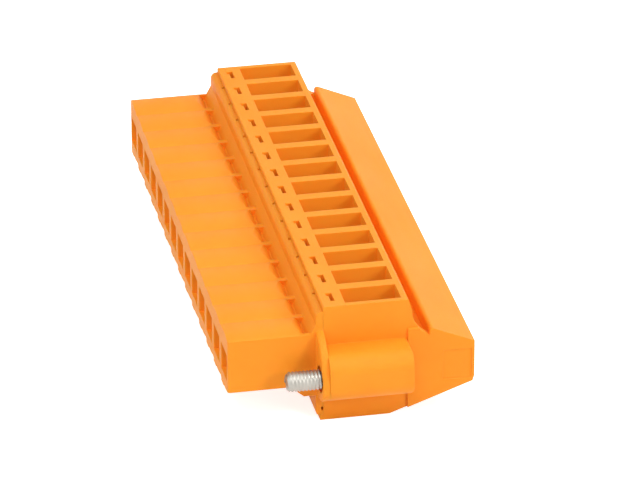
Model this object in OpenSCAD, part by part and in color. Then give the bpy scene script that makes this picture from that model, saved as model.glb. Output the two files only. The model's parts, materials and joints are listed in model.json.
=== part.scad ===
// Pluggable terminal block: a row of spring-clamp poles in a two-piece housing with screw flanges.
// X runs from the mating face to the wire side, Y along the row, Z up from the flat base.

/* [Row] */
// Number of poles in the row
poles = 14; // [2:1:20]
// Distance between neighbouring poles
pitch = 5.08; // [5:0.04:5.6]

/* [Plug nose] */
// Reach of the nose in front of the collar
nose_reach = 10.92; // [10.4:0.1:12]
// Nose thickness where two poles meet
nose_h = 6.95; // [6.7:0.05:7.2]
// Rise of each pole's crown above the grooves beside it
crown = 0.3; // [0.15:0.05:0.4]
// Width of a pin opening at the mating face
opening_w = 3.8; // [3.4:0.1:4.2]
// Height of a pin opening at the mating face
opening_h = 3.6; // [3.3:0.05:3.8]

/* [Body] */
// Height of the clamp block above the base
body_h = 15.5; // [15:0.1:17]
// Thickness of the collar and the ears
collar_t = 0.91; // [0.8:0.01:1.3]
// Width of a clamp cell along the row
cell_w = 3.65; // [3.4:0.05:3.8]
// Length of a clamp cell across the row
cell_l = 6.97; // [6.8:0.01:7.1]
// Width of the groove behind the clamp block
groove_w = 2.56; // [2:0.02:3.4]
// Depth of the wire cover behind the groove
cover_l = 5.65; // [5:0.05:7]
// Height of the cover edge beside the groove
cover_h = 11.6; // [11:0.1:12]

/* [Wire entry] */
// Radius of a wire hole
wire_r = 1.5; // [1.3:0.05:1.6]
// Radius of the funnel at the rear face
funnel_r = 2.05; // [1.8:0.05:2.2]

/* [Flanges] */
// Outer radius of the flange screw thread
screw_r = 1.25; // [1:0.05:1.3]
// Length of the screw that stands in front of the ears
screw_proud = 4.17; // [3:0.1:6]
// Height of a screw boss
boss_h = 6.1; // [5.6:0.1:6.6]
// Radius of the round ears
ear_r = 6.36; // [6.2:0.02:6.5]

/* [Contacts and clamps] */
// Thickness of the clamp strip
strip_t = 0.4; // [0.3:0.05:0.5]
// Width of the clamp strip
strip_w = 3.2; // [3:0.05:3.3]
// Thickness of the bus bar
bar_t = 0.8; // [0.6:0.05:0.9]
// Width of the bus bar and its fork socket
bar_w = 2.4; // [2:0.05:2.4]

/* [Fits] */
// Radial clearance of the screw barrel and its neck in the boss
head_clear = 0.05; // [0.03:0.01:0.1]
// Radial clearance of the thread in the ear
ear_clear = 0.45; // [0.35:0.01:0.55]
// Side clearance of the bus bar in the clamp window
window_clear = 0.1; // [0.05:0.01:0.15]

/* [Hidden] */
contacts = [for (i = [1:poles]) str("contact_", i)];
clamps = [for (i = [1:poles]) str("clamp_", i)];
$fn = 64;

// Stations along X, from the mating face to the rear face
block_l = 10.66;
depth = nose_reach + collar_t + block_l + groove_w + cover_l;
x_mate = -depth / 2;
x_collar = x_mate + nose_reach;
x_seam = x_collar + collar_t;
x_block = x_seam + block_l;
x_cover = x_block + groove_w;
x_rear = depth / 2;
x_cell1 = x_block - 0.84;
x_cell0 = x_cell1 - cell_l;

// Row
row_l = poles * pitch;
screw_y = (row_l + pitch) / 2;
screw_z = 7.05;

// Heights
nose_z = 8.4;
pin_z = 8;
key_z = 4.42;
collar_z0 = 0.7;
collar_z1 = body_h - 0.6;
rear_z0 = 4.4;
rear_z1 = cover_h - 2.4;
groove_z = 9.4;
wire_z = 6.85;
boss_z1 = 10.35;
boss_z0 = boss_z1 - boss_h;
slit_z = 1.35;
rib_z = 3.5;

// End walls of the groove
end_wall = 0.6;
step_out = 0.35;
sweep_r = 3.64;
sweep_lean = 0.4;
sweep_drop = 1.61;
sweep_z = body_h - sweep_drop;

// Room for a clamp
room_z0 = 6;
room_z1 = 12.9;

// Contact and clamp
bar_top = pin_z + bar_t / 2;
fork_gap = 1.1;
nip_gap = 0.45;
flare_gap = 0.9;
fork_h = 2 * (fork_gap + strip_t);
fork_l = 7.4;
x_fork = x_mate + 1.35;
x_root = x_fork + fork_l;
x_bar = x_cell1 - 0.2;
leg_x = x_cell1 - 0.7;
loop_r = 1.8;
loop_x = x_cell0 + 0.47;
bend_r = 0.8;
leg_drop = 1.75;
window_h = 2.15;
window_w = bar_w + 2 * window_clear;

// Screw
head_r = 1.6;
neck_r = screw_r - 0.3;
driver_r = 1.35;
boss_out = 2.1;
boss_round = 2.1;
x_neck = x_collar - 0.37;
x_bore = x_seam + 0.92;
x_head0 = x_seam + 1.02;
x_head1 = x_seam + 8.82;
x_lip = x_seam + 9.67;
x_boss = x_seam + 10.42;

nose_color = [0.98, 0.5, 0.1];
body_color = [1, 0.55, 0.16];
tin_color = [0.8, 0.8, 0.78];
steel_color = [0.72, 0.73, 0.75];
screw_color = [0.66, 0.66, 0.63];

function pole_y(i) = (i - (poles + 1) / 2) * pitch;

// Slanted face of the shoulder between the nose and the collar, at height z
function shoulder_x(z) = x_collar - 0.62 + (z - nose_z - nose_h / 2) * 0.62 / 1.2;

// Extrudes an XZ drawing along Y, centred on the row
module across(w) {
    rotate([90, 0, 0]) linear_extrude(height = w, center = true) children();
}

// Extrudes a YZ drawing along X
module along(x0, x1) {
    translate([x0, 0, 0]) rotate([90, 0, 90]) linear_extrude(height = x1 - x0) children();
}

// Repeats a piece at every pole
module each_pole() {
    for (i = [1:poles]) translate([0, pole_y(i), 0]) children();
}

// Repeats a piece at both ends of the row
module both_ends() {
    for (s = [0, 1]) mirror([0, s, 0]) children();
}

module rect(x0, z0, x1, z1) {
    translate([x0, z0]) square([x1 - x0, z1 - z0]);
}

// Waste of a rounded corner; qx and qz point from the corner into the material
module corner(x, z, r, qx, qz) {
    translate([x, z]) scale([qx, qz]) difference() {
        rect(-0.1, -0.1, r, r);
        translate([r, r]) circle(r);
    }
}

// ---- Front housing ----

// YZ outline of the nose: one shallow crown per pole, above and below, with a key rib under each
module nose_outline() {
    crown_r = (pitch * pitch / 4 + crown * crown) / (2 * crown);
    rise = nose_h / 2 + crown - crown_r;
    intersection() {
        translate([0, nose_z]) square([row_l, 2 * nose_h], center = true);
        union() {
            for (i = [1:poles]) intersection() {
                translate([pole_y(i), nose_z + rise]) circle(crown_r, $fn = 180);
                translate([pole_y(i), nose_z - rise]) circle(crown_r, $fn = 180);
            }
        }
    }
    for (i = [1:poles]) rect(pole_y(i) + 0.6, key_z, pole_y(i) + 2.1, nose_z - nose_h / 2 + 0.5);
}

// The nose, its two upright end edges rounded at the mating face
module nose() {
    edge_r = 0.35;
    intersection() {
        along(x_mate, x_collar + 0.1) nose_outline();
        linear_extrude(height = body_h) difference() {
            rect(x_mate - 0.1, -row_l / 2, x_collar + 0.2, row_l / 2);
            corner(x_mate, -row_l / 2, edge_r, 1, 1);
            corner(x_mate, row_l / 2, edge_r, 1, -1);
        }
    }
}

// Height of a pin passage at each station, as an XZ drawing
module passage_side() {
    throat = opening_h / 2 - 0.45;
    room = fork_h / 2 + 0.2;
    slot = fork_h / 2 + 0.1;
    up = [[x_mate - 0.1, opening_h / 2], [x_mate + 0.8, opening_h / 2], [x_mate + 0.95, throat],
        [x_mate + 1.15, throat], [x_mate + 1.15, room], [x_root - 0.3, room], [x_root - 0.3, slot],
        [x_seam + 0.1, slot]];
    down = [for (k = [len(up) - 1:-1:0]) [up[k][0], -up[k][1]]];
    translate([0, pin_z]) polygon(concat(up, down));
}

// Width of a pin passage at each station, as an XY drawing
module passage_plan() {
    throat = bar_w / 2 + 0.1;
    room = bar_w / 2 + 0.2;
    slot = bar_w / 2;
    up = [[x_mate - 0.1, opening_w / 2], [x_mate + 0.8, opening_w / 2], [x_mate + 0.95, throat],
        [x_mate + 1.15, throat], [x_mate + 1.15, room], [x_root - 0.3, room], [x_root - 0.3, slot],
        [x_seam + 0.1, slot]];
    down = [for (k = [len(up) - 1:-1:0]) [up[k][0], -up[k][1]]];
    for (i = [1:poles]) translate([0, pole_y(i)]) polygon(concat(up, down));
}

module pin_passages() {
    intersection() {
        across(row_l) passage_side();
        linear_extrude(height = body_h) passage_plan();
    }
}

// Pocket in the top of each crown: it rolls down to a floor at the foot of the shoulder
module top_pockets() {
    top = nose_z + nose_h / 2 + crown;
    floor_z = top - 0.97;
    start = x_collar - 2.57;
    roll_r = 1.5;
    each_pole() across(4.2) difference() {
        polygon([[start, floor_z], [shoulder_x(floor_z), floor_z], [shoulder_x(top + 0.1), top + 0.1],
            [start, top + 0.1]]);
        translate([start, top - roll_r]) circle(roll_r);
    }
}

// XZ outline of the collar with the shoulder that meets the nose
module collar_outline() {
    foot = nose_z + nose_h / 2;
    difference() {
        union() {
            rect(x_collar, collar_z0, x_seam, collar_z1);
            polygon([[x_collar + 0.1, foot - 0.5], [shoulder_x(foot), foot - 0.5], [shoulder_x(foot), foot],
                [x_collar, foot + 1.2], [x_collar + 0.1, foot + 1.2]]);
        }
        corner(x_collar, collar_z1, 0.75, 1, -1);
        corner(x_collar, collar_z0, 0.5, 1, 1);
    }
}

// XZ outline of the locking rib under the nose
module rib_outline() {
    front = x_collar - 2.27;
    polygon([[x_collar + 0.1, rib_z], [front + 0.77, rib_z], [front, rib_z + 0.65], [front, rib_z + 2.4],
        [x_collar + 0.1, rib_z + 2.4]]);
}

// Round ear with a rounded front edge, cut off along the foot of the screw boss
module ear() {
    edge_r = 0.4;
    reach = screw_y + boss_out;
    intersection() {
        translate([x_seam, screw_y - 4.33, 6.28]) rotate([0, -90, 0]) rotate_extrude($fn = 120) difference() {
            square([ear_r, collar_t]);
            corner(ear_r, collar_t, edge_r, -1, -1);
        }
        along(x_collar - 0.1, x_seam + 0.1) difference() {
            rect(row_l / 2 - 0.5, boss_z0, reach, body_h);
            corner(reach, boss_z0, boss_round, -1, 1);
        }
    }
}

module front_housing() {
    color(nose_color) difference() {
        union() {
            nose();
            across(row_l) collar_outline();
            across(row_l) rib_outline();
            both_ends() ear();
        }
        pin_passages();
        top_pockets();
        // Vents where the poles meet, beside the seam
        for (i = [1:poles - 1]) translate([0, pole_y(i) + pitch / 2, 0])
            across(0.5) rect(x_seam - 0.35, collar_z1 - 1.2, x_seam + 0.1, collar_z1 + 0.1);
        both_ends() {
            along(x_collar - 0.1, x_seam + 0.1) translate([screw_y, screw_z]) circle(screw_r + ear_clear);
            // Latch slit low on the end of the collar
            translate([0, row_l / 2, 0]) across(1) rect(x_seam - 0.25, slit_z, x_seam + 0.1, slit_z + 0.5);
        }
    }
}

// ---- Rear housing ----

// XZ outline of the clamp block, the swept end wall and the wire cover
module rear_outline() {
    fall = atan((cover_h - rear_z1) / cover_l);
    edge_r = 0.4;
    edge_z = cover_h - edge_r * tan(fall) - edge_r / cos(fall);
    sweep_x = x_block + sweep_lean + sweep_r;
    sweep_end = sweep_z - sqrt(sweep_r * sweep_r - pow(sweep_x - x_cover, 2));
    difference() {
        union() {
            polygon([[x_seam - 0.38, 0], [x_seam + 8.32, 0], [x_rear - 0.22, rear_z0 - 0.7], [x_rear, rear_z0],
                [x_rear, rear_z1], [x_cover, cover_h], [x_cover, sweep_end],
                [x_block + sweep_lean, sweep_end], [x_block + sweep_lean, sweep_z], [x_block, body_h - 0.25],
                [x_block, body_h], [x_seam, body_h], [x_seam, collar_z0], [x_seam - 0.38, collar_z0]]);
            difference() {
                rect(x_block, sweep_end - 0.1, x_cover, sweep_z);
                translate([sweep_x, sweep_z]) circle(sweep_r);
            }
        }
        corner(x_block, body_h, 0.25, -1, -1);
        corner(x_seam, body_h, 0.15, 1, -1);
        // Rounded cover edge
        translate([x_cover + edge_r, edge_z]) difference() {
            polygon([[-edge_r - 0.1, 0], [0, 0], [edge_r * sin(fall), edge_r * cos(fall)],
                [2 * edge_r * sin(fall), 2 * edge_r * cos(fall)], [-edge_r - 0.1, 2 * edge_r]]);
            circle(edge_r);
        }
    }
}

// XZ outline of the room for one clamp: the open cell and the space under the strip
module cell_outline() {
    union() {
        rect(x_cell0, 2, x_cell1, body_h + 0.1);
        rect(x_seam - 0.1, room_z0, x_cell0 + 0.1, room_z1);
    }
}

// YZ outline of a screw boss beside the end face
module boss_outline() {
    reach = screw_y + boss_out;
    difference() {
        rect(row_l / 2 - 0.5, boss_z0, reach, boss_z1);
        corner(reach, boss_z0, boss_round, -1, 1);
        corner(reach, boss_z1, boss_round, -1, -1);
    }
}

// Screw boss, rounded again where it ends on the driver side
module boss() {
    intersection() {
        along(x_seam, x_boss + 0.1) boss_outline();
        across(3 * screw_y) difference() {
            rect(x_seam - 0.1, 0, x_boss, body_h);
            corner(x_boss, boss_z0, 1.1, -1, 1);
            corner(x_boss, boss_z1, 0.4, -1, -1);
        }
    }
}

module test_slots() {
    each_pole() {
        across(2.1) rect(x_cell0 - 1.63, 12.5, x_cell0 - 1.13, body_h + 0.1);
        translate([0, 0.7, 0]) across(0.7) polygon([[x_cell0 - 1.98, body_h], [x_cell0 - 1.6, body_h - 0.4],
            [x_cell0 - 1.6, body_h + 0.1], [x_cell0 - 1.98, body_h + 0.1]]);
    }
}

module wire_entries() {
    each_pole() translate([x_cell1 - 0.1, 0, wire_z]) rotate([0, 90, 0]) {
        cylinder(r = wire_r, h = x_rear - x_cell1);
        translate([0, 0, x_rear - x_cell1 - 3.85]) cylinder(r1 = wire_r, r2 = funnel_r, h = 3.95);
        translate([0, 0, x_rear - x_cell1]) cylinder(r = funnel_r, h = 0.3);
    }
}

module rear_housing() {
    color(body_color) difference() {
        union() {
            across(row_l) rear_outline();
            // The cover end stands a little proud of the block end
            across(row_l + 2 * step_out) intersection() {
                rear_outline();
                rect(x_block - 0.14, 0, x_rear + 0.1, cover_h);
            }
            both_ends() boss();
        }
        across(row_l - 2 * end_wall) rect(x_block, groove_z, x_cover, body_h + 0.1);
        each_pole() across(cell_w) cell_outline();
        test_slots();
        wire_entries();
        both_ends() {
            along(x_seam - 0.1, x_bore + 0.1) translate([screw_y, screw_z]) circle(neck_r + head_clear);
            along(x_bore, x_lip) translate([screw_y, screw_z]) circle(head_r + head_clear);
            along(x_lip - 0.1, x_boss + 0.1) translate([screw_y, screw_z]) circle(driver_r);
            // Shallow panel on the cover end
            translate([0, row_l / 2 + step_out, 0]) across(0.2) rect(x_cover + 1.7, 4.2, x_rear - 0.35, 8.2);
        }
    }
}

// ---- Contact: a bus bar with a fork socket, one blanked piece ----

module contact() {
    up = [[x_bar, bar_t / 2], [x_root, bar_t / 2], [x_root, fork_h / 2], [x_root - 1, fork_h / 2],
        [x_fork + 0.8, nip_gap + strip_t], [x_fork, flare_gap + strip_t], [x_fork, flare_gap],
        [x_fork + 0.8, nip_gap], [x_root - 1, fork_gap], [x_root - 0.4, fork_gap]];
    down = [for (k = [len(up) - 1:-1:0]) [up[k][0], -up[k][1]]];
    color(tin_color) across(bar_w) translate([0, pin_z]) polygon(concat(up, down));
}

// ---- Clamp: one bent strip whose window leg hangs round the bus bar ----

module clamp_outline() {
    loop_z = bar_top + loop_r;
    top_z = bar_top + 2 * loop_r;
    bend_x = leg_x + strip_t / 2 - bend_r;
    rect(loop_x, bar_top, leg_x - 1, bar_top + strip_t);
    rect(loop_x, top_z - strip_t, bend_x, top_z);
    rect(leg_x - strip_t / 2, bar_top - leg_drop, leg_x + strip_t / 2, top_z - bend_r);
    intersection() {
        translate([loop_x, loop_z]) difference() {
            circle(loop_r);
            circle(loop_r - strip_t);
        }
        rect(loop_x - 2 * loop_r, loop_z - 2 * loop_r, loop_x, loop_z + 2 * loop_r);
    }
    intersection() {
        translate([bend_x, top_z - bend_r]) difference() {
            circle(bend_r);
            circle(bend_r - strip_t);
        }
        rect(bend_x, top_z - bend_r, bend_x + bend_r, top_z);
    }
}

module clamp() {
    color(steel_color) difference() {
        across(strip_w) clamp_outline();
        across(window_w) rect(leg_x - strip_t, bar_top - bar_t - 0.05, leg_x + strip_t, bar_top + window_h);
    }
}

// ---- Flange screw: thread, thinner neck and slotted head barrel ----

module flange_screw() {
    tip = x_collar - screw_proud;
    color(screw_color) translate([0, screw_y, screw_z]) difference() {
        rotate([0, 90, 0]) rotate_extrude() polygon([[0, tip], [screw_r - 0.3, tip], [screw_r, tip + 0.3],
            [screw_r, x_neck], [neck_r, x_neck + 0.15], [neck_r, x_head0],
            [head_r - 0.2, x_head0], [head_r, x_head0 + 0.2], [head_r, x_head1 - 0.2],
            [head_r - 0.2, x_head1], [0, x_head1]]);
        across(0.6) rect(x_head1 - 0.8, -head_r - 0.1, x_head1 + 0.1, head_r + 0.1);
    }
}

front_housing();
rear_housing();
for (i = [1:poles]) {
    translate([0, pole_y(i), 0]) contact();
    translate([0, pole_y(i), 0]) clamp();
}
mirror([0, 1, 0]) flange_screw();  // flange_screw_left
flange_screw();  // flange_screw_right
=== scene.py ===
import json
import math

import bmesh
import bpy
from mathutils import Matrix, Vector


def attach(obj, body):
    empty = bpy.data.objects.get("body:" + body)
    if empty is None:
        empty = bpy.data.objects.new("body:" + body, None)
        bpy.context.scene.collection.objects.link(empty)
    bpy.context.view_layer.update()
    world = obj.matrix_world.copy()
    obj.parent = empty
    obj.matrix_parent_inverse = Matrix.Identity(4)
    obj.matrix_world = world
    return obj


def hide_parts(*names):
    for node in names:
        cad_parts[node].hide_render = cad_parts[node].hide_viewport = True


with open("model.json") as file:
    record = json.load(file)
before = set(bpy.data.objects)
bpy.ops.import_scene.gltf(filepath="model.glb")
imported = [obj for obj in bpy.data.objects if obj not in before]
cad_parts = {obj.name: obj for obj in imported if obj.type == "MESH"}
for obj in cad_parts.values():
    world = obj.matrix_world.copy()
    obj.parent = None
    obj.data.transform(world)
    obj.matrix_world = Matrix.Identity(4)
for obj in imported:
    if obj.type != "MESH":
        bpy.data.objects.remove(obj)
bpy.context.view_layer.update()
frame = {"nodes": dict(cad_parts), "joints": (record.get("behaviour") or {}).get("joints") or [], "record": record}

# Pluggable terminal block: finishes, threaded flange screws, floor, light and camera.
# Sizes are in metres, in the frame of the solids: X to the wire side, Y along the row, Z up.

MM = 0.001

# Camera, at the near end of the row and above it; angles in degrees
AIM = Vector((2.38, -4.44, 8.82)) * MM
CAMERA_AZIMUTH = -11.44
CAMERA_ELEVATION = 26.54
CAMERA_DISTANCE = 0.64495
LENS = 284.6

# Floor and light: the strength of the white surroundings, and soft panels that face the object
FLOOR_SIZE = 8.0
FLOOR_GLOW = 0.78
SKY_STRENGTH = 0.28
LAMP_DISTANCE = 0.8
LAMPS = (
    # name, azimuth and elevation in degrees, diameter in metres, power in watts
    ("main", -30.0, 58.0, 0.35, 3.0),
    ("wire_side", 105.0, 48.0, 0.3, 1.9),
    ("high_side", 60.0, 60.0, 0.4, 0.7),
    ("near_end", 35.0, 24.0, 0.24, 2.0),
    ("mating_side", -72.0, 20.0, 0.5, 1.3),
    ("far_end", 152.0, 22.0, 0.5, 0.6),
)

# Flange screws: their place and radius come from the frame, and the turns of thread are added here
SCREW_MOUNTS = [mount for mount in frame["record"]["mounts"] if mount["kind"] == "pin"]
THREAD_R = SCREW_MOUNTS[0]["dims"]["r_mm"] * MM
THREAD_TIP = -8.6 * MM
THREAD_END = -4.5 * MM
THREAD_PITCH = 0.45 * MM
THREAD_DEPTH = 0.13 * MM
HALF_CREST = 0.12 * THREAD_PITCH
TIP_CHAMFER = 0.3 * MM
SPARE_TURNS = 1.5
STEPS_PER_TURN = 40
THREAD_MERGE = 0.002 * MM
SOLID_MERGE = 0.001 * MM
SMOOTH_ANGLE = math.radians(35)


def deselect():
    for obj in bpy.context.selected_objects:
        obj.select_set(False)


def activate(obj):
    deselect()
    obj.select_set(True)
    bpy.context.view_layer.objects.active = obj


# ---- Shader helpers ----

def link(tree, source, target):
    tree.links.new(source, target)


def feed(tree, value, socket):
    """Puts a plain number on the socket, or links what another node gives."""
    if isinstance(value, (int, float)):
        socket.default_value = value
    else:
        link(tree, value, socket)


def math_node(tree, operation, first, second, clamp=False):
    node = tree.nodes.new("ShaderNodeMath")
    node.operation = operation
    node.use_clamp = clamp
    feed(tree, first, node.inputs[0])
    feed(tree, second, node.inputs[1])
    return node.outputs[0]


def fainter(tree, mask, share):
    return math_node(tree, "MULTIPLY", mask, share)


def remap(tree, value, low, high, new_low, new_high):
    """The value's run from low to high turned into one from new_low to new_high, and held at its ends."""
    node = tree.nodes.new("ShaderNodeMapRange")
    link(tree, value, node.inputs["Value"])
    node.inputs["From Min"].default_value = low
    node.inputs["From Max"].default_value = high
    node.inputs["To Min"].default_value = new_low
    node.inputs["To Max"].default_value = new_high
    return node.outputs["Result"]


def mix_colour(tree, factor, first, second):
    node = tree.nodes.new("ShaderNodeMix")
    node.data_type = "RGBA"
    link(tree, factor, node.inputs[0])
    for socket, value in ((node.inputs[6], first), (node.inputs[7], second)):
        if isinstance(value, tuple):
            socket.default_value = (*value, 1.0)
        else:
            link(tree, value, socket)
    return node.outputs[2]


def noise(tree, vector, scale, detail=3.0, roughness=0.55):
    node = tree.nodes.new("ShaderNodeTexNoise")
    link(tree, vector, node.inputs["Vector"])
    feed(tree, scale, node.inputs["Scale"])
    node.inputs["Detail"].default_value = detail
    node.inputs["Roughness"].default_value = roughness
    return node.outputs["Fac"]


def new_group(name, inputs, outputs):
    """An empty shader group with its sockets, plus its input and output nodes."""
    tree = bpy.data.node_groups.new(name, "ShaderNodeTree")
    for socket_name, value in inputs:
        socket = tree.interface.new_socket(socket_name, in_out="INPUT", socket_type="NodeSocketFloat")
        socket.default_value = value
    for socket_name, kind in outputs:
        tree.interface.new_socket(socket_name, in_out="OUTPUT", socket_type=kind)
    return tree, tree.nodes.new("NodeGroupInput"), tree.nodes.new("NodeGroupOutput")


def build_grain_group():
    """Fine moulded or plated grain, and a broad unevenness, as two masks from 0 to 1."""
    tree, enter, leave = new_group("surface_grain", [("Fine Scale", 9000.0), ("Broad Scale", 90.0)],
                                   [("Fine", "NodeSocketFloat"), ("Broad", "NodeSocketFloat")])
    place = tree.nodes.new("ShaderNodeTexCoord").outputs["Object"]
    fine = noise(tree, place, enter.outputs["Fine Scale"], 4.0, 0.6)
    broad = noise(tree, place, enter.outputs["Broad Scale"], 3.0, 0.5)
    link(tree, remap(tree, fine, 0.3, 0.7, 0.0, 1.0), leave.inputs["Fine"])
    link(tree, remap(tree, broad, 0.3, 0.7, 0.0, 1.0), leave.inputs["Broad"])
    return tree


def build_edge_group():
    """Softened normal near sharp edges, and a mask that is 1 on the edge and 0 on flat ground."""
    tree, enter, leave = new_group("soft_edge", [("Radius", 0.0001)],
                                   [("Edge", "NodeSocketFloat"), ("Normal", "NodeSocketVector")])
    bevel = tree.nodes.new("ShaderNodeBevel")
    bevel.samples = 6
    link(tree, enter.outputs["Radius"], bevel.inputs["Radius"])
    shape = tree.nodes.new("ShaderNodeNewGeometry")
    dot = tree.nodes.new("ShaderNodeVectorMath")
    dot.operation = "DOT_PRODUCT"
    link(tree, bevel.outputs["Normal"], dot.inputs[0])
    link(tree, shape.outputs["Normal"], dot.inputs[1])
    link(tree, remap(tree, dot.outputs["Value"], 0.99, 0.8, 0.0, 1.0), leave.inputs["Edge"])
    link(tree, bevel.outputs["Normal"], leave.inputs["Normal"])
    return tree


def build_streak_group():
    """Faint drawn-out lines, as flow or rolling marks leave them; a small stretch makes them longer."""
    inputs = [("Scale", 400.0), ("Stretch X", 1.0), ("Stretch Y", 1.0), ("Stretch Z", 1.0)]
    tree, enter, leave = new_group("drawn_streaks", inputs, [("Streak", "NodeSocketFloat")])
    place = tree.nodes.new("ShaderNodeTexCoord").outputs["Object"]
    stretch = tree.nodes.new("ShaderNodeCombineXYZ")
    for axis in "XYZ":
        link(tree, enter.outputs["Stretch " + axis], stretch.inputs[axis])
    scaled = tree.nodes.new("ShaderNodeVectorMath")
    scaled.operation = "MULTIPLY"
    link(tree, place, scaled.inputs[0])
    link(tree, stretch.outputs["Vector"], scaled.inputs[1])
    lines = noise(tree, scaled.outputs["Vector"], enter.outputs["Scale"], 3.0, 0.5)
    link(tree, remap(tree, lines, 0.3, 0.7, 0.0, 1.0), leave.inputs["Streak"])
    return tree


GRAIN = build_grain_group()
EDGE = build_edge_group()
STREAK = build_streak_group()


def place_group(tree, group, **values):
    node = tree.nodes.new("ShaderNodeGroup")
    node.node_tree = group
    for name, value in values.items():
        node.inputs[name.replace("_", " ")].default_value = value
    return node


def new_material(name):
    material = bpy.data.materials.new(name)
    material.use_nodes = True
    tree = material.node_tree
    return material, tree, tree.nodes["Principled BSDF"]


def bump(tree, shader, height, normal, distance, strength):
    node = tree.nodes.new("ShaderNodeBump")
    node.inputs["Distance"].default_value = distance
    node.inputs["Strength"].default_value = strength
    link(tree, height, node.inputs["Height"])
    link(tree, normal, node.inputs["Normal"])
    link(tree, node.outputs["Normal"], shader.inputs["Normal"])


def build_orange_plastic():
    """Satin orange polyamide: faint flow marks, a fine spark-eroded grain and a painted highlight that makes sharp
    edges paler.
    """
    material, tree, shader = new_material("orange_plastic_satin")
    grain = place_group(tree, GRAIN, Fine_Scale=7000.0, Broad_Scale=120.0)
    flow = place_group(tree, STREAK, Scale=260.0, Stretch_X=1.0, Stretch_Y=0.18, Stretch_Z=1.0)
    edge = place_group(tree, EDGE, Radius=0.12 * MM)
    deep, pale = (0.91, 0.29, 0.013), (0.935, 0.314, 0.017)
    flow_mark, edge_highlight_colour = (0.89, 0.268, 0.014), (0.97, 0.4, 0.045)
    ground = mix_colour(tree, grain.outputs["Broad"], deep, pale)
    marked = mix_colour(tree, fainter(tree, flow.outputs["Streak"], 0.3), ground, flow_mark)
    # Painted highlight: a paler colour on sharp edges, where they catch the light
    edge_highlighted = mix_colour(tree, fainter(tree, edge.outputs["Edge"], 0.35), marked, edge_highlight_colour)
    link(tree, edge_highlighted, shader.inputs["Base Color"])
    smoothest, from_grain, from_flow = 0.46, 0.12, 0.08
    uneven = math_node(tree, "ADD", fainter(tree, grain.outputs["Fine"], from_grain),
                       fainter(tree, flow.outputs["Streak"], from_flow))
    link(tree, math_node(tree, "ADD", uneven, smoothest), shader.inputs["Roughness"])
    shader.inputs["IOR"].default_value = 1.53
    shader.inputs["Specular IOR Level"].default_value = 0.2
    shader.inputs["Subsurface Weight"].default_value = 0.3
    shader.inputs["Subsurface Radius"].default_value = (1.0, 0.35, 0.08)
    shader.inputs["Subsurface Scale"].default_value = 0.8 * MM
    bump(tree, shader, grain.outputs["Fine"], edge.outputs["Normal"], 0.006 * MM, 0.5)
    return material


def build_metal(name, dark, light, rough_low, rough_high, grain_scale, stretch, edge_radius, edge_colour):
    """Bare or plated metal: drawn marks, uneven lustre and a colour made brighter at sharp edges."""
    material, tree, shader = new_material(name)
    grain = place_group(tree, GRAIN, Fine_Scale=grain_scale, Broad_Scale=700.0)
    drawn = place_group(tree, STREAK, Scale=2600.0, Stretch_X=stretch[0], Stretch_Y=stretch[1],
                        Stretch_Z=stretch[2])
    edge = place_group(tree, EDGE, Radius=edge_radius)
    ground = mix_colour(tree, grain.outputs["Broad"], dark, light)
    # Colour made brighter at sharp edges, through the edge mask
    edge_brightened = mix_colour(tree, fainter(tree, edge.outputs["Edge"], 0.5), ground, edge_colour)
    link(tree, edge_brightened, shader.inputs["Base Color"])
    shader.inputs["Metallic"].default_value = 1.0
    marks = math_node(tree, "ADD", drawn.outputs["Streak"], grain.outputs["Broad"])
    halved = fainter(tree, marks, 0.5)
    link(tree, remap(tree, halved, 0.0, 1.0, rough_low, rough_high), shader.inputs["Roughness"])
    height = math_node(tree, "ADD", grain.outputs["Fine"], drawn.outputs["Streak"])
    bump(tree, shader, height, edge.outputs["Normal"], 0.004 * MM, 0.5)
    return material


PLASTIC = build_orange_plastic()
TIN = build_metal("tin_plated_contact", dark=(0.56, 0.55, 0.52), light=(0.68, 0.67, 0.64),
                  rough_low=0.28, rough_high=0.46, grain_scale=9000.0, stretch=(0.1, 1.0, 1.0),
                  edge_radius=0.03 * MM, edge_colour=(0.8, 0.79, 0.76))
SPRING = build_metal("rolled_clamp_steel", dark=(0.45, 0.45, 0.46), light=(0.57, 0.57, 0.58),
                     rough_low=0.2, rough_high=0.36, grain_scale=12000.0, stretch=(0.1, 1.0, 0.1),
                     edge_radius=0.03 * MM, edge_colour=(0.72, 0.72, 0.73))
ZINC = build_metal("zinc_plated_screw", dark=(0.33, 0.315, 0.28), light=(0.43, 0.41, 0.37),
                   rough_low=0.42, rough_high=0.56, grain_scale=8000.0, stretch=(0.3, 1.0, 1.0),
                   edge_radius=0.02 * MM, edge_colour=(0.6, 0.58, 0.54))


def finish_nodes():
    """Each solid gets the finish of its kind."""
    for name, obj in frame["nodes"].items():
        if name.endswith("housing"):
            material = PLASTIC
        elif name.startswith("contact"):
            material = TIN
        elif name.startswith("clamp"):
            material = SPRING
        else:
            material = ZINC
        for slot in obj.material_slots:
            slot.material = material


finish_nodes()


# ---- Flange screws, with real turns on the shank ----

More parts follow.
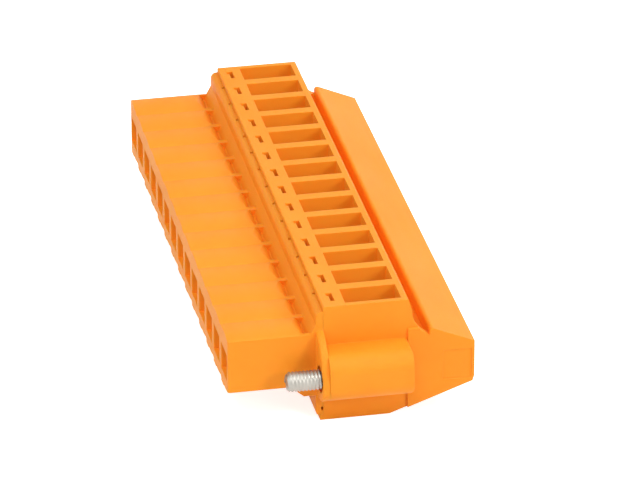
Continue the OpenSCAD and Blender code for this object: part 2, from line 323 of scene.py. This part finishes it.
def make_thread():
    """A threaded shank: one V wound round the axis, cut off at both ends and narrowed at the tip.

    Bisect's own threshold of 0.1 mm spares what lies that near the cut, so neither end is quite flat.
    """
    deselect()
    start = THREAD_TIP - SPARE_TURNS * THREAD_PITCH
    bpy.ops.mesh.primitive_plane_add(size=THREAD_PITCH, location=(0, 0, 0))
    shank = bpy.context.object
    shank.name = "thread_turns"
    root = THREAD_R - THREAD_DEPTH
    turn_profile = [(0.0, root), (THREAD_PITCH / 2 - HALF_CREST, THREAD_R),
                    (THREAD_PITCH / 2 + HALF_CREST, THREAD_R), (THREAD_PITCH, root)]
    mesh = bmesh.new()
    points = [mesh.verts.new((start + x, 0, r)) for x, r in turn_profile]
    for first, second in zip(points, points[1:]):
        mesh.edges.new((first, second))
    mesh.to_mesh(shank.data)
    mesh.free()
    wind = shank.modifiers.new("wind", "SCREW")
    wind.axis = "X"
    wind.screw_offset = THREAD_PITCH
    wind.iterations = math.ceil((THREAD_END - THREAD_TIP) / THREAD_PITCH + 2 * SPARE_TURNS)
    wind.steps = STEPS_PER_TURN
    wind.render_steps = STEPS_PER_TURN
    wind.use_merge_vertices = True
    wind.merge_threshold = THREAD_MERGE
    wind.use_normal_calculate = True
    activate(shank)
    bpy.ops.object.modifier_apply(modifier="wind")
    bpy.ops.object.mode_set(mode="EDIT")
    bpy.ops.mesh.select_all(action="SELECT")
    bpy.ops.mesh.remove_doubles(threshold=THREAD_MERGE)
    bpy.ops.mesh.bisect(plane_co=(THREAD_END, 0, 0), plane_no=(1, 0, 0), use_fill=True, clear_outer=True)
    bpy.ops.mesh.select_all(action="SELECT")
    bpy.ops.mesh.bisect(plane_co=(THREAD_TIP, 0, 0), plane_no=(-1, 0, 0), use_fill=True, clear_outer=True)
    bpy.ops.object.mode_set(mode="OBJECT")
    for vertex in shank.data.vertices:
        reach = math.hypot(vertex.co.y, vertex.co.z)
        allowed = THREAD_R - TIP_CHAMFER + max(vertex.co.x - THREAD_TIP, 0.0)
        if reach > allowed:
            vertex.co.y *= allowed / reach
            vertex.co.z *= allowed / reach
    return shank


def make_screw(node, axis_point):
    """The threaded shank joined to the neck and slotted barrel of the solid screw."""
    shank = make_thread()
    deselect()
    barrel = frame["nodes"][node].copy()
    barrel.data = frame["nodes"][node].data.copy()
    bpy.context.scene.collection.objects.link(barrel)
    barrel.parent = None
    barrel.matrix_world = Matrix.Identity(4)
    activate(barrel)
    bpy.ops.object.mode_set(mode="EDIT")
    bpy.ops.mesh.select_all(action="SELECT")
    bpy.ops.mesh.remove_doubles(threshold=SOLID_MERGE)
    bpy.ops.mesh.bisect(plane_co=(THREAD_END, 0, 0), plane_no=(-1, 0, 0), use_fill=True, clear_outer=True)
    bpy.ops.object.mode_set(mode="OBJECT")
    for vertex in shank.data.vertices:
        vertex.co += Vector((0, axis_point[1], axis_point[2]))
    deselect()
    barrel.select_set(True)
    shank.select_set(True)
    bpy.context.view_layer.objects.active = shank
    bpy.ops.object.join()
    screw = bpy.context.object
    screw.name = node + "_turned"
    screw.data.materials.clear()
    screw.data.materials.append(ZINC)
    activate(screw)
    bpy.ops.object.shade_smooth_by_angle(angle=SMOOTH_ANGLE)
    return screw


for joint in frame["joints"]:
    body = joint["child"]
    node = "flange_" + body
    turned = make_screw(node, joint["pos_m"])
    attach(turned, body)
    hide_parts(node)


# ---- Floor, surroundings, lamps and camera ----

def seen_directly(tree):
    """1 where a camera, glossy or transmission ray looks at the surface, 0 for light that bounces."""
    path = tree.nodes.new("ShaderNodeLightPath")
    near = math_node(tree, "ADD", path.outputs["Is Camera Ray"], path.outputs["Is Glossy Ray"], clamp=True)
    return math_node(tree, "ADD", near, path.outputs["Is Transmission Ray"], clamp=True)


def make_floor():
    """A pale floor that keeps the object's shadow, with a glow that only a direct look sees."""
    deselect()
    bpy.ops.mesh.primitive_plane_add(size=FLOOR_SIZE, location=(0, 0, 0))
    floor = bpy.context.object
    floor.name = "floor"
    material, tree, shader = new_material("pale_floor")
    place = tree.nodes.new("ShaderNodeTexCoord").outputs["Object"]
    tint = mix_colour(tree, noise(tree, place, 3.0), (0.8, 0.8, 0.8), (0.84, 0.84, 0.84))
    link(tree, tint, shader.inputs["Base Color"])
    shader.inputs["Roughness"].default_value = 0.9
    shader.inputs["Specular IOR Level"].default_value = 0.1
    glow = tree.nodes.new("ShaderNodeEmission")
    glow.inputs["Color"].default_value = (1, 1, 1, 1)
    link(tree, math_node(tree, "MULTIPLY", seen_directly(tree), FLOOR_GLOW), glow.inputs["Strength"])
    both = tree.nodes.new("ShaderNodeAddShader")
    link(tree, shader.outputs["BSDF"], both.inputs[0])
    link(tree, glow.outputs["Emission"], both.inputs[1])
    link(tree, both.outputs["Shader"], tree.nodes["Material Output"].inputs["Surface"])
    floor.data.materials.append(material)


def make_world():
    """White surroundings for a direct look, and an even, dimmer light for all that bounces."""
    world = bpy.data.worlds.new("white_studio")
    world.use_nodes = True
    tree = world.node_tree
    sky = tree.nodes["Background"]
    sky.inputs["Color"].default_value = (1, 1, 1, 1)
    link(tree, remap(tree, seen_directly(tree), 0.0, 1.0, SKY_STRENGTH, 1.0), sky.inputs["Strength"])
    bpy.context.scene.world = world


def place_facing_aim(name, data, azimuth, elevation, distance):
    """A lamp or camera that looks at the aim; azimuth 0 is over the near end, 90 over the wire side."""
    turn = math.radians(azimuth)
    lift = math.radians(elevation)
    away = Vector((math.sin(turn) * math.cos(lift), -math.cos(turn) * math.cos(lift), math.sin(lift)))
    obj = bpy.data.objects.new(name, data)
    obj.location = AIM + away * distance
    obj.rotation_euler = away.to_track_quat("Z", "Y").to_euler()
    bpy.context.scene.collection.objects.link(obj)
    return obj


def add_lamp(name, azimuth, elevation, diameter, power):
    lamp = bpy.data.lights.new(name, "AREA")
    lamp.shape = "DISK"
    lamp.size = diameter
    lamp.energy = power
    place_facing_aim(name, lamp, azimuth, elevation, LAMP_DISTANCE)


def make_camera():
    data = bpy.data.cameras.new("camera")
    data.lens = LENS
    data.sensor_width = 36.0
    data.clip_start = 0.01
    data.clip_end = 50.0
    bpy.context.scene.camera = place_facing_aim("camera", data, CAMERA_AZIMUTH, CAMERA_ELEVATION,
                                                CAMERA_DISTANCE)


make_floor()
make_world()
for lamp_values in LAMPS:
    add_lamp(*lamp_values)
make_camera()
bpy.context.scene.view_settings.view_transform = "Standard"
